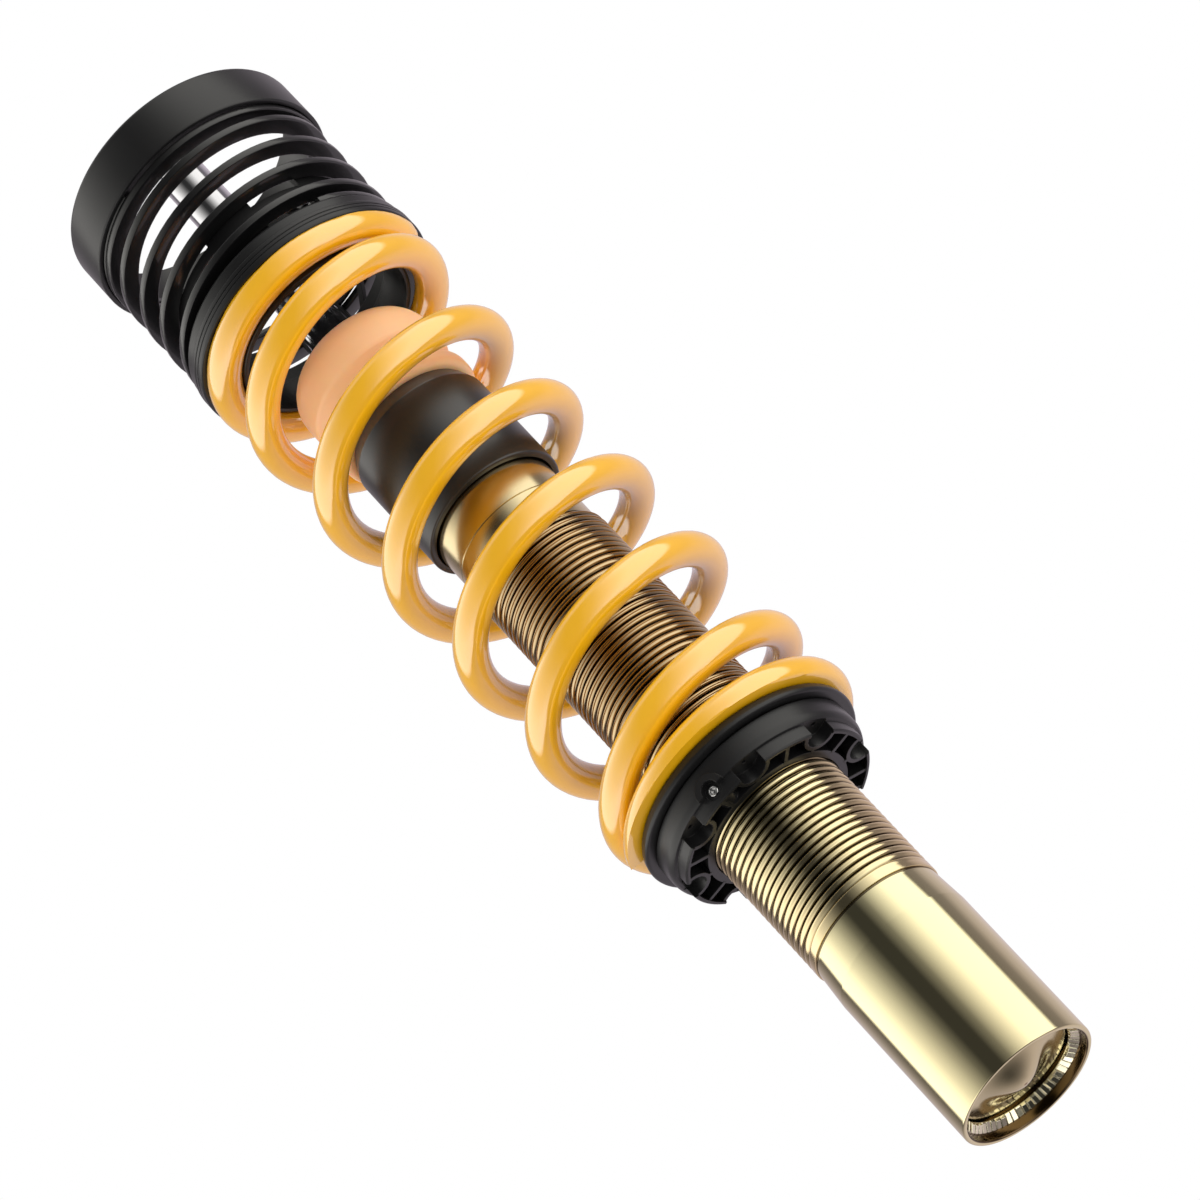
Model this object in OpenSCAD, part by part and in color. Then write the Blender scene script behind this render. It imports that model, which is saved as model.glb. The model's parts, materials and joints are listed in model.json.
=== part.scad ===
// MacPherson-strut coilover: a damper in a threaded housing, a main spring on an
// adjustable perch, and a flat-wire helper spring under the upper seat.
// The z axis is the strut's axis. z = 0 is the lower rim of the housing, and the
// front of the part faces -y.

/* [Housing] */
// Diameter of the plain lower tube that the knuckle clamps
tube_d = 55; // [46:0.5:66]
// Wall of the lower tube
tube_wall = 2; // [1.6:0.1:3]
// Length of the plain lower tube
clamp_len = 66; // [55:1:110]
// Length of the taper between the plain tube and the thread
neck_len = 13.5; // [8:0.5:20]
// Outer diameter of the housing thread
thread_d = 54; // [45:0.5:65]
// Pitch of the housing thread
thread_pitch = 3; // [2:0.25:4]
// Depth of the housing thread
thread_depth = 1.1; // [0.5:0.1:1.3]
// Length of the threaded stretch
thread_len = 192; // [150:3:231]
// Diameter of the smooth head above the thread
head_d = 51.2; // [42.7:0.1:51.6]
// Length of the smooth head
head_len = 70; // [58:1:84]
// Height of the lower spring's seat above the lower rim
perch_z = 155.8; // [130:0.1:187]

/* [Rod and piston] */
// Diameter of the piston rod
rod_d = 18; // [15:0.5:22]
// Diameter of the threaded stud on top of the rod
stud_d = 14; // [10:0.5:14]
// Length of the stud
stud_len = 24; // [19:0.5:29]
// Bore of the inner pressure tube
piston_d = 33; // [30:0.5:36]
// Wall of the inner pressure tube
pressure_wall = 1.5; // [1.2:0.1:2]

/* [Main spring] */
// Wire diameter of the main spring
main_wire = 13; // [10.8:0.1:15.6]
// Outer diameter of the main spring
main_od = 102; // [96:1:123]
// Free length of the main spring
main_len = 265.4; // [220:0.1:320]
// Pitch of the main spring's active coils
main_pitch = 44; // [36:0.5:53]

/* [Helper spring] */
// Outer diameter of the helper spring
helper_od = 99.8; // [96:0.1:120]
// Width of the flat helper wire
helper_width = 7.2; // [6:0.1:8.7]
// Thickness of the flat helper wire
helper_thick = 3.1; // [2.5:0.1:3.8]
// Free length of the helper spring
helper_len = 59.7; // [50:0.1:72]
// Pitch of the helper spring's active coils
helper_pitch = 13.6; // [11:0.1:16]

/* [Perch] */
// Diameter of the slide ring under the main spring
slide_d = 92.4; // [88:0.1:110]
// Thickness of the slide ring's flange
slide_thick = 4.5; // [3.5:0.1:6]
// Height of the adjuster's drum under the slide ring
drum_h = 7; // [6:0.1:9]
// Height of the adjuster's castellated wall
castle_h = 7.8; // [6.5:0.1:9.4]
// Number of spanner pockets around the adjuster
pockets = 8; // [6:1:10]
// Radius of a spanner pocket
pocket_r = 5.4; // [4.4:0.1:6.5]

/* [Divider and upper seat] */
// Diameter of the divider's flange between the two springs
divider_d = 102.6; // [98:0.1:124]
// Thickness of the divider's flange
divider_thick = 11; // [9:0.1:13]
// Height of the divider's collar inside the helper spring
collar_h = 18; // [14:0.5:22]
// Diameter of the upper seat
seat_d = 103.8; // [100:0.1:125]
// Height of the upper seat
seat_h = 21.2; // [17:0.1:26]

/* [Dust cup and bump stop] */
// Wall of the dust cup
cup_wall = 2; // [1.5:0.1:2.4]
// Length of the cup's skirt over the housing's head
cup_skirt = 40; // [33:1:48]
// Diameter of the bump stop
bump_d = 59.8; // [52:0.1:62]
// Height of the bump stop above the cup
bump_h = 41.5; // [36:0.5:50]

/* [Hidden] */
$fn = 96;

// Clearances
run_fit = 0.05;      // radial, parts that slide or turn on each other
free_gap = 0.3;      // between separate bodies that only pass each other
thread_gap = 0.1;    // radial, between the thread's crest and the insert
spring_gap = 0.3;    // radial, between a spring and the collar inside it

// Housing heights and radii
tube_r = tube_d / 2;
thread_r = thread_d / 2;
head_r = head_d / 2;
neck_r = thread_r - 0.55;
joint_z = clamp_len + neck_len + 0.8;
thread_z = joint_z + 3;
thread_n = floor(thread_len / thread_pitch);
thread_top = thread_z + thread_n * thread_pitch;
head_z = thread_top + head_len;
bore_r = min(head_r, thread_r - thread_depth) - 2.1;

// Closed lower end
cap_z = 6.5;
cap_thick = 2.5;
cap_r = tube_r - tube_wall;
weld_size = 3;

// Rod guide stack, which closes the head
rod_r = rod_d / 2;
seal_h = 5;
gland_h = 2.5;
guide_h = 16;
guide_top = head_z - seal_h - gland_h;
guide_z = guide_top - guide_h;
bush_wall = 1.2;

// Pressure tube between the base valve and the rod guide
press_in = piston_d / 2;
press_out = press_in + pressure_wall;
valve_z = cap_z + cap_thick + 3;
valve_h = 14;
press_z = valve_z + 5;
press_top = guide_z + 6;

// Springs
main_out = main_od / 2;
main_in = main_out - main_wire;
main_mid = main_out - main_wire / 2;
divider_z = perch_z + main_len + free_gap;
flange_top = divider_z + divider_thick;
helper_out = helper_od / 2;
helper_in = helper_out - helper_width;
seat_face = flange_top + helper_len + free_gap;
seat_lip = 2.2;
seat_z = seat_face - seat_lip;
seat_top = seat_z + seat_h;
seat_r = max(seat_d / 2, helper_out + 2);
seat_in = helper_out - 4.6;
divider_r = max(divider_d / 2, main_out, helper_out) ;

// Rod
stud_r = min(stud_d / 2, rod_r - 1.5);
rod_low_z = guide_z - 62;
tail_r = rod_r - 3;
tail_len = 34;
rod_top_z = seat_top + 1.5;
stud_top = rod_top_z + stud_len;
piston_z = rod_low_z - 14;
band_z = piston_z + 4;
band_h = 6;
band_in = press_in - 2.2;

// Perch and adjuster
slide_z = perch_z - slide_thick;
slide_r = max(slide_d / 2, main_mid + 1);
slide_top_r = slide_r - 0.9;
drum_top = slide_z - free_gap;
drum_z = drum_top - drum_h;
castle_z = drum_z - castle_h;
castle_r = slide_r - 6.1;
drum_r = castle_r + 2.2;
shoulder_z = drum_z - 2.8;
insert_in = thread_r + thread_gap;
insert_out = insert_in + 1.9;
insert_z = castle_z + 3.4;
hub_r = thread_r + 3.4;
cell_wall = 1.6;
cell_top = drum_z + 3;
pocket_top = shoulder_z + 0.4;
dimple_r = 0.9;
dimple_mid = castle_r - dimple_r - 0.3;
pocket_mid = max(castle_r - 2, hub_r + cell_wall + pocket_r);
pocket_angle = 6.7;
screw_angle = pocket_angle - 180 / pockets - 90 + 1.4;
screw_r = 1.9;
screw_z = castle_z + 5.1;
boss_r = 5.9;
boss_out = drum_r + 0.5;
pad_r = 1.6;
screw_in = insert_out + 2.6;
screw_out = castle_r + 0.3;
recess_r = 3.4;
recess_floor = castle_r - 0.6;

// Cup and bump stop
cup_in = head_r + 1;
cup_out = cup_in + cup_wall + 0.2;
cup_plate = 3.2;
cup_top = head_z + 12.2;
cup_mouth = cup_out - 6.8;
bump_r = min(bump_d / 2, main_in - 6);
bump_bore = rod_r + 0.6;

// Divider rings
skirt_out = main_in - spring_gap;
skirt_in = skirt_out - 2.3;
collar_out = helper_in - spring_gap - 0.4;
collar_in = collar_out - 2.3;
split_z = divider_z + 5.9;
panels = 6;
panel_angle = 30;
panel_rise = 6.6;
window_z = flange_top + 4.5;
window_top = flange_top + collar_h - 4;

// Points along an arc about (x, y)
function arc(x, y, r, a0, a1, n = 6) =
    [for (i = [0 : n]) let (a = a0 + (a1 - a0) * i / n) [x + r * cos(a), y + r * sin(a)]];

// Share of a smooth ramp that is covered at x, where 0 is its start and 1 its end
function ramp(x) = let (c = min(1, max(0, x))) c * c * c - c * c * c * c / 2;

// Rise of the wire over t turns from a closed end, whose pitch opens between turns a and b
function end_rise(t, closed, pitch, a, b) =
    closed * t + (pitch - closed) * ((b - a) * ramp((t - a) / (b - a)) + max(0, t - b));

// Mean of a list
function average(v) = v * [for (x = v) 1] / len(v);

// Solid of revolution with the outline pts as [radius, height]
module turned(pts) rotate_extrude() polygon(pts);

// Plain ring with chamfered outer edges
module ring(r_in, r_out, z0, z1, c = 0.3)
    turned([[r_in, z0], [r_out - c, z0], [r_out, z0 + c], [r_out, z1 - c], [r_out - c, z1],
        [r_in, z1]]);

// Square-edged ring
module tube(r_in, r_out, z0, z1)
    turned([[r_in, z0], [r_out, z0], [r_out, z1], [r_in, z1]]);

// Stretch of a ring, centred on angle a and w degrees wide
module ring_part(r_in, r_out, z0, z1, a, w)
    rotate([0, 0, a - w / 2]) rotate_extrude(angle = w)
        polygon([[r_in, z0], [r_out, z0], [r_out, z1], [r_in, z1]]);

// Copies of the children, n around the axis, the first at angle a
module around(n, a = 0) for (i = [0 : n - 1]) rotate([0, 0, a + i * 360 / n]) children();

// Wire swept along a list of centre points [angle, radius, height], where profile lists the
// section as [outward, upward]; its ends are ground flat between heights lo and hi
module wire(path, profile, lo, hi) {
    n = len(path);
    m = len(profile);
    last = (n - 1) * m;
    pts = [for (p = path) for (q = profile)
        [(p[1] + q[0]) * cos(p[0]), (p[1] + q[0]) * sin(p[0]), min(hi, max(lo, p[2] + q[1]))]];
    sides = [for (i = [0 : n - 2]) for (j = [0 : m - 1]) let (k = (j + 1) % m)
        each [[i * m + j, i * m + k, (i + 1) * m + k], [i * m + j, (i + 1) * m + k, (i + 1) * m + j]]];
    caps = [for (j = [0 : m - 1]) let (k = (j + 1) % m)
        each [[k, j, n * m], [last + j, last + k, n * m + 1]]];
    middles = [for (i = [0, last]) [for (c = [0 : 2]) average([for (j = [0 : m - 1]) pts[i + j][c]])]];
    polyhedron(points = concat(pts, middles), faces = concat(sides, caps), convexity = 12);
}

// ---- Housing ----

module lower_tube() color("#c9c39c")
    turned([[tube_r - tube_wall, 0.4], [tube_r - tube_wall + 0.4, 0], [tube_r - 0.4, 0],
        [tube_r, 0.4], [tube_r, clamp_len], [neck_r, clamp_len + neck_len], [neck_r, joint_z],
        [neck_r - tube_wall, joint_z], [neck_r - tube_wall, clamp_len + neck_len],
        [tube_r - tube_wall, clamp_len]]);

// The thread is drawn as rings with rounded-off flanks, one to a pitch
module threaded_tube() color("#b9a984") {
    crest = thread_pitch * 0.3;
    flank = thread_pitch * 0.25;
    root_r = thread_r - thread_depth;
    ridges = [for (i = [0 : thread_n - 1]) let (z = thread_z + i * thread_pitch)
        each [[root_r, z], [thread_r, z + flank], [thread_r, z + flank + crest],
            [root_r, z + 2 * flank + crest]]];
    turned(concat([[bore_r, joint_z], [thread_r - 0.8, joint_z], [thread_r - 0.8, joint_z + 0.7],
            [thread_r, joint_z + 0.9], [thread_r, thread_z - 0.5]],
        ridges, [[head_r, thread_top + 2], [head_r, thread_top + 15], [head_r - 0.4, thread_top + 15.3],
            [head_r, thread_top + 15.6], [head_r, head_z - 2]],
        arc(head_r - 2, head_z - 2, 2, 0, 90), [[bore_r, head_z]]));
}

// Dished disc with a bulge in its middle, bulging downward
module end_cap() color("#b5ad8c") {
    bulge_r = 17;
    bulge_h = 5.4;
    steps = 10;
    bulge = [for (i = [0 : steps]) let (r = bulge_r * i / steps) [r, -bulge_h * (1 + cos(180 * r / bulge_r)) / 2]];
    low = [for (p = bulge) [p[0], cap_z + p[1]]];
    high = [for (i = [steps : -1 : 0]) [bulge[i][0], cap_z + cap_thick + bulge[i][1]]];
    turned(concat(low, [[cap_r, cap_z], [cap_r, cap_z + cap_thick]], high));
}

module end_weld() color("#d8cfae")
    turned([[cap_r - weld_size, cap_z], [cap_r - 0.8, cap_z - weld_size * 0.8],
        [cap_r, cap_z - weld_size], [cap_r, cap_z]]);

module pressure_tube() color("#9a9a98")
    ring(press_in, press_out, press_z, press_top, 0.2);

module base_valve() color("#8f8f8c") difference() {
    turned([[3, valve_z], [press_out + 2, valve_z], [press_out + 2, press_z], [press_in, press_z],
        [press_in, valve_z + valve_h - 1], [press_in - 1, valve_z + valve_h], [3, valve_z + valve_h]]);
    around(6) translate([press_in * 0.62, 0, valve_z - 1]) cylinder(r = 2, h = valve_h + 2);
    around(4, 45) translate([press_out + 2, 0, valve_z - 1]) cylinder(r = 2, h = 4);
}

module base_valve_shims() color("#b0b0b0")
    for (i = [0 : 3]) ring(3, press_in * (0.84 - 0.12 * i), valve_z + valve_h + i * 0.3,
        valve_z + valve_h + (i + 1) * 0.3, 0.05);

module base_valve_bolt() color("#8a8a8a") {
    top = valve_z + valve_h + 1.2;
    translate([0, 0, valve_z - 2]) cylinder(r = 3, h = top - valve_z + 2);
    translate([0, 0, top]) cylinder(r = 5.5, h = 4, $fn = 6);
    translate([0, 0, valve_z - 2]) cylinder(r = 5, h = 2);
}

module rod_guide() color("#a8a8a6")
    turned([[rod_r + bush_wall, guide_z], [press_in, guide_z], [press_in, press_top],
        [press_out + 1, press_top], [bore_r, press_top + 2], [bore_r, guide_top],
        [rod_r + bush_wall, guide_top]]);

module guide_bush() color("#6f6a5c")
    ring(rod_r + run_fit, rod_r + bush_wall, guide_z, guide_top, 0.1);

module rod_seal() color("#2c2c2e") difference() {
    ring(rod_r + run_fit, bore_r, guide_top, guide_top + seal_h, 0.2);
    translate([0, 0, guide_top - 1])
        turned([[rod_r + 2, 0], [rod_r + 4, 0], [rod_r + 4, 3.5], [rod_r + 2, 3.5]]);
}

module gland_ring() color("#7d7d7a")
    ring(rod_r + 0.6, bore_r, guide_top + seal_h, head_z, 0.4);

module dust_cup() color("#262729") {
    lip_z = head_z - cup_skirt;
    turned(concat([[cup_in - 0.4, lip_z], [cup_out - 0.7, lip_z]],
        arc(cup_out - 0.7, lip_z + 0.7, 0.7, -90, 0, 4),
        [[cup_out, cup_top - 6.2], [cup_out - 2.4, cup_top], [cup_mouth, cup_top],
        [cup_mouth, head_z + cup_plate], [rod_r + 1.5, head_z + cup_plate], [rod_r + 1.5, head_z],
        [cup_in, head_z], [cup_in, lip_z + 4]]));
}

// Two-lobed foam spring; its neck stands in the cup's mouth
module bump_stop() color("#f2a877") {
    neck = cup_mouth - 0.2;
    waist_z = cup_top + 12.5;
    top_z = cup_top + bump_h;
    dome = 13;
    turned(concat([[bump_bore, head_z + cup_plate], [neck, head_z + cup_plate], [neck, cup_top],
            [bump_r - 3, cup_top]],
        arc(bump_r - 3.4, cup_top + 3.4, 3.4, -80, 40),
        arc(bump_r - 4, waist_z, 1.6, 250, 110),
        arc(bump_r - 3, waist_z + 5, 3, -50, 0),
        arc(bump_r - dome, top_z - dome, dome, 0, 80, 10),
        [[bump_r - dome, top_z], [bump_bore + 1, top_z], [bump_bore, top_z - 1]]));
}

// ---- Rod and piston ----

module piston_rod() color("#d9dadc") {
    tail_z = rod_low_z - tail_len;
    turned([[0, tail_z], [tail_r - 0.6, tail_z], [tail_r, tail_z + 0.6], [tail_r, rod_low_z],
        [rod_r - 0.8, rod_low_z], [rod_r, rod_low_z + 0.8], [rod_r, rod_top_z - 0.6],
        [rod_r - 0.6, rod_top_z], [stud_r, rod_top_z], [stud_r, stud_top - 1.2],
        [stud_r - 1.2, stud_top], [0, stud_top]]);
}

module piston() color("#8c8c88") difference() {
    turned([[tail_r, piston_z], [press_in - 0.9, piston_z], [press_in - 0.3, piston_z + 0.6],
        [press_in - 0.3, band_z], [band_in, band_z], [band_in, band_z + band_h],
        [press_in - 0.3, band_z + band_h], [press_in - 0.3, piston_z + 12.4],
        [press_in - 0.9, piston_z + 13], [tail_r, piston_z + 13]]);
    around(8) translate([(tail_r + band_in) / 2, 0, piston_z - 1]) cylinder(r = 1.4, h = 15);
}

module rebound_shims() color("#b4b4b2")
    ring(tail_r, band_in - 1.5, piston_z + 13, rod_low_z, 0.1);

module compression_shims() color("#b4b4b2")
    for (i = [0 : 2]) ring(tail_r, band_in - 1 - 1.4 * i, piston_z - (i + 1) * 0.5,
        piston_z - i * 0.5, 0.1);

module piston_nut() color("#909090") difference() {
    translate([0, 0, piston_z - 11.5]) cylinder(r = tail_r + 4, h = 10, $fn = 6);
    translate([0, 0, piston_z - 12.5]) cylinder(r = tail_r, h = 12);
}

module rebound_stop() color("#33343a")
    ring(rod_r, press_in - 1.5, guide_z - 8.5, guide_z - free_gap, 1);

module piston_band() color("#3f6b66")
    ring(band_in + run_fit, press_in - 0.03, band_z + run_fit, band_z + band_h - run_fit, 0.05);

// ---- Upper seat ----

// Open ring with a step for the helper spring's top coil
module upper_seat() color("#37383a") {
    wall_in = helper_out + run_fit;
    turned(concat([[seat_in, seat_face], [wall_in, seat_face], [wall_in, seat_z],
            [seat_r - 0.5, seat_z], [seat_r, seat_z + 0.5], [seat_r, seat_top - 1.6]],
        arc(seat_r - 1.6, seat_top - 1.6, 1.6, 0, 90),
        [[seat_in + 0.5, seat_top], [seat_in, seat_top - 0.5]]));
}

// ---- Perch ----

module slide_ring() color("#232426") {
    collar_r = main_in - spring_gap;
    turned(concat([[thread_r + free_gap, slide_z], [slide_r - 1, slide_z]],
        arc(slide_r - 1, slide_z + 1, 1, -90, 0, 4),
        arc(slide_top_r - 1.4, perch_z - 1.4, 1.4, 0, 90, 4),
        [[collar_r, perch_z], [collar_r, perch_z + 3], [collar_r - 2, perch_z + 6.4],
        [collar_r - 3.2, perch_z + 6.4], [collar_r - 3.2, perch_z], [thread_r + free_gap, perch_z]]));
}

// Round wire with closed and ground ends
module main_spring() color("#f0b428") {
    closed = main_wire - 0.4;
    open_a = 0.85;
    open_b = 1.15;
    sink = 0.2;
    rise = main_len + 2 * sink;
    ends = end_rise(open_b, closed, main_pitch, open_a, open_b);
    turns = 2 * open_b + (rise - 2 * ends) / main_pitch;
    first = -169;
    steps = ceil(turns * 30);
    path = [for (i = [0 : steps]) let (t = turns * i / steps, low = t < turns / 2,
        r = end_rise(low ? t : turns - t, closed, main_pitch, open_a, open_b))
        [first + 360 * t, main_mid, perch_z - sink + (low ? r : rise - r)]];
    wire(path, arc(0, 0, main_wire / 2, 0, 330, 11), perch_z, perch_z + main_len);
}

// Upright pocket with a round inner end, open outward
module pocket(r, z0, z1) {
    translate([pocket_mid, 0, z0]) cylinder(r = r, h = z1 - z0);
    translate([pocket_mid, -r, z0]) cube([2 * pocket_r, 2 * r, z1 - z0]);
}

// Castellated adjuster: hollow below, with ribs, spanner pockets and a boss for the screw
module adjuster() color("#2a2b2e") {
    wall_in = castle_r - cell_wall;
    lip_r = thread_r + free_gap;
    rib_z = castle_z + 0.5;
    rib_h = cell_top - castle_z;
    difference() {
        union() {
            turned(concat([[lip_r, castle_z + 0.6], [hub_r, castle_z + 0.6], [hub_r, cell_top],
                    [wall_in, cell_top], [wall_in, castle_z], [castle_r - 0.6, castle_z],
                    [castle_r, castle_z + 0.6], [castle_r, shoulder_z]],
                arc(drum_r - 4, drum_z + 0.4, 4, -45, 0),
                [[drum_r, drum_top - 0.6], [drum_r - 0.6, drum_top], [insert_out, drum_top],
                    [insert_out, insert_z - 0.4], [lip_r, insert_z - 0.4]]));
            around(pockets, pocket_angle + 180 / pockets) translate([hub_r - 0.5, -0.8, rib_z])
                cube([wall_in - hub_r + 1, 1.6, rib_h]);
            around(pockets, pocket_angle) {
                intersection() {
                    pocket(pocket_r + cell_wall, rib_z, cell_top + 0.5);
                    tube(hub_r + 0.4, castle_r - 0.3, castle_z - 1, cell_top + 1);
                }
                translate([hub_r - 0.5, -0.8, rib_z]) cube([pocket_mid - pocket_r - hub_r, 1.6, rib_h]);
            }
            rotate([0, 0, screw_angle]) {
                intersection() {
                    translate([hub_r - 0.5, 0, screw_z]) rotate([0, 90, 0])
                        cylinder(r = boss_r, h = boss_out - hub_r + 0.5);
                    translate([hub_r - 1, -boss_r - 1, shoulder_z])
                        cube([boss_out, 2 * boss_r + 2, boss_r + 1]);
                }
                translate([hub_r - 0.5, 0, screw_z]) rotate([0, 90, 0])
                    cylinder(r = screw_r + 2.2, h = castle_r - hub_r - 0.5);
            }
        }
        around(pockets, pocket_angle) {
            pocket(pocket_r, castle_z - 1, pocket_top);
            translate([dimple_mid, 0, pocket_top - 1]) cylinder(r = dimple_r, h = 2.2);
        }
        rotate([0, 0, screw_angle]) translate([0, 0, screw_z]) rotate([0, 90, 0]) {
            translate([0, 0, lip_r - 2]) cylinder(r = screw_r + run_fit, h = castle_r);
            translate([0, 0, recess_floor]) cylinder(r = recess_r, h = 8);
        }
    }
}

module thread_insert() color("#a79a78") difference() {
    tube(insert_in, insert_out, insert_z, drum_top - 0.6);
    rotate([0, 0, screw_angle]) translate([0, 0, screw_z]) rotate([0, 90, 0])
        cylinder(r = pad_r + 0.05, h = insert_out + 2);
}

module lock_pad() color("#c8a03c")
    rotate([0, 0, screw_angle]) translate([insert_in, 0, screw_z]) rotate([0, 90, 0])
        cylinder(r = pad_r, h = screw_in - insert_in - free_gap);

module lock_screw() color("#dcdde0")
    rotate([0, 0, screw_angle]) translate([screw_in, 0, screw_z]) rotate([0, 90, 0]) difference() {
        cylinder(r = screw_r, h = screw_out - screw_in);
        translate([0, 0, screw_out - screw_in - 2.2]) cylinder(r = 1.15, h = 3, $fn = 6);
    }

// ---- Divider ----

module divider_flange() color("#202124")
    turned(concat([[skirt_in, divider_z - 8.5], [skirt_out - 1, divider_z - 8.5],
            [skirt_out, divider_z - 7.5], [skirt_out, divider_z]],
        arc(divider_r - 0.8, divider_z + 0.8, 0.8, -90, 0, 4),
        [[divider_r, split_z - 0.3], [divider_r - 0.8, split_z], [skirt_in, split_z]]));

module divider_collar() color("#2b2c2f") {
    top = flange_top + collar_h;
    gap_angle = 360 / panels - panel_angle;
    difference() {
        turned(concat([[skirt_in, split_z], [divider_r - 1.2, split_z], [divider_r - 0.8, split_z + 0.4],
                [divider_r - 0.8, flange_top - 1.2], [divider_r - 1.6, flange_top],
                [collar_out, flange_top], [collar_out, top + panel_rise], [collar_in, top + panel_rise],
                [collar_in, flange_top - 2], [skirt_in, flange_top - 4]]));
        around(panels) {
            ring_part(collar_in - 3, collar_out + 0.3, window_z, window_top, 0, gap_angle);
            ring_part(collar_in - 3, collar_out + 0.3, top, top + panel_rise + 1, 0, gap_angle);
        }
    }
    around(panels) intersection() {
        ring_part(collar_in + 0.2, collar_out - 0.2, window_z - 0.5, window_top + 0.5, 0, gap_angle + 2);
        translate([(collar_in + collar_out) / 2, 0, (window_z + window_top) / 2]) rotate([38, 0, 0])
            cube([12, 2.4, 40], center = true);
    }
}

// Flat wire with closed and ground ends
module helper_spring() color("#1f2022") {
    closed = helper_thick + 0.2;
    low_a = 0.4;
    low_b = 0.8;
    high_a = 0.9;
    high_b = 2.07;
    lift = helper_thick / 2 - 0.55;
    rise = helper_len - 2 * lift;
    low_end = end_rise(low_b, closed, helper_pitch, low_a, low_b);
    high_end = end_rise(high_b, closed, helper_pitch, high_a, high_b);
    turns = low_b + high_b + (rise - low_end - high_end) / helper_pitch;
    first = -51;
    steps = ceil(turns * 32);
    w = helper_width / 2;
    h = helper_thick / 2;
    path = [for (i = [0 : steps]) let (t = turns * i / steps, low = t < turns / 2)
        [first + 360 * t, helper_in + w, flange_top + lift + (low
            ? end_rise(t, closed, helper_pitch, low_a, low_b)
            : rise - end_rise(turns - t, closed, helper_pitch, high_a, high_b))]];
    wire(path, [[w, -h], [w, h], [-w, h], [-w, -h]], flange_top, flange_top + helper_len);
}

lower_tube();
threaded_tube();
end_cap();
end_weld();
pressure_tube();
base_valve();
base_valve_shims();
base_valve_bolt();
rod_guide();
guide_bush();
rod_seal();
gland_ring();
dust_cup();
bump_stop();
piston_rod();
piston();
rebound_shims();
compression_shims();
piston_nut();
rebound_stop();
piston_band();
upper_seat();
slide_ring();
main_spring();
adjuster();
thread_insert();
lock_pad();
lock_screw();
divider_flange();
divider_collar();
helper_spring();
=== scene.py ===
"""Coilover strut: its springs, thread, turned parts, mouldings and finishes, on a studio stage.

Every size is in metres, in the strut's own frame: z runs up the axis from the housing's
lower rim, and the front of the strut faces -y.
"""

import json
import math

import bmesh
import bpy
from bpy.props import FloatProperty, FloatVectorProperty, IntProperty, PointerProperty
from mathutils import Matrix, Vector


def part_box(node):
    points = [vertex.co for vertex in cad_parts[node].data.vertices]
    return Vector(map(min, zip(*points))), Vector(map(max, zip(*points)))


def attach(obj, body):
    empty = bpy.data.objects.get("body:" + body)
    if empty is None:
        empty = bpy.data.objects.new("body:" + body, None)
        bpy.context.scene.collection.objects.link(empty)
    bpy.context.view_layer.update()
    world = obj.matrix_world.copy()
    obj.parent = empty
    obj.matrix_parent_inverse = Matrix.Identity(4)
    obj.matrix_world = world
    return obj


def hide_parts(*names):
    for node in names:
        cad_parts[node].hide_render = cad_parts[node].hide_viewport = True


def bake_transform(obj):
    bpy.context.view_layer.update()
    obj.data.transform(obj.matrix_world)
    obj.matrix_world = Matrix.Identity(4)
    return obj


bl_info = {
    "name": "Coilover strut",
    "version": (1, 0, 0),
    "blender": (4, 5, 0),
    "location": "View3D > Sidebar > Coilover",
    "description": "Builds a coilover strut on its frame, with its finishes and a studio stage",
    "category": "Add Mesh",
}

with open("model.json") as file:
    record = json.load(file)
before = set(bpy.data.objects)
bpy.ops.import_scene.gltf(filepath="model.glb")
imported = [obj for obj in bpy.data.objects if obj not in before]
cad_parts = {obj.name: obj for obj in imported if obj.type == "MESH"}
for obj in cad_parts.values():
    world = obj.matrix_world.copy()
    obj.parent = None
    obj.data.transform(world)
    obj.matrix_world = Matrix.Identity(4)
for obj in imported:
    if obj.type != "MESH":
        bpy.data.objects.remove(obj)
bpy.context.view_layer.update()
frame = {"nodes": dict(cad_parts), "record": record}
MM = 0.001
TURN = 2 * math.pi


def low(node):
    """Height of the lowest point of a node."""
    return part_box(node)[0].z


def high(node):
    """Height of the highest point of a node."""
    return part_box(node)[1].z


def radius(node):
    """Outer radius of a round node."""
    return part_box(node)[1].x


# ---- Sizes and colours that a user would change ----


def length(name, description, default):
    """A size in metres."""
    return FloatProperty(
        name=name, description=description, default=default, min=0.0, unit="LENGTH", precision=5
    )


def colour(name, description, default):
    """A colour without its alpha."""
    return FloatVectorProperty(
        name=name,
        description=description,
        default=default,
        size=3,
        min=0.0,
        max=1.0,
        subtype="COLOR",
    )


def share(name, description, default):
    """A number from 0 to 1."""
    return FloatProperty(
        name=name, description=description, default=default, min=0.0, max=1.0, subtype="FACTOR"
    )


class HousingSettings(bpy.types.PropertyGroup):
    """Sizes and finish of the housing."""

    pitch: length("Thread pitch", "Rise of the housing's thread in one turn", 3 * MM)
    depth: length("Thread depth", "Depth of the housing's thread", 1.3 * MM)
    land: length("Land", "Height of the smooth land under the thread", 3 * MM)
    turns: IntProperty(name="Turns", description="Number of turns of the thread", default=64)
    facets: IntProperty(
        name="Flats", description="Number of short flats round the end cap's rim", default=64
    )
    plating: colour("Plating", "Colour of the gold passivated zinc", (0.80, 0.745, 0.46))
    polish: share("Roughness", "Roughness of the polished tube", 0.09)


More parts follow.
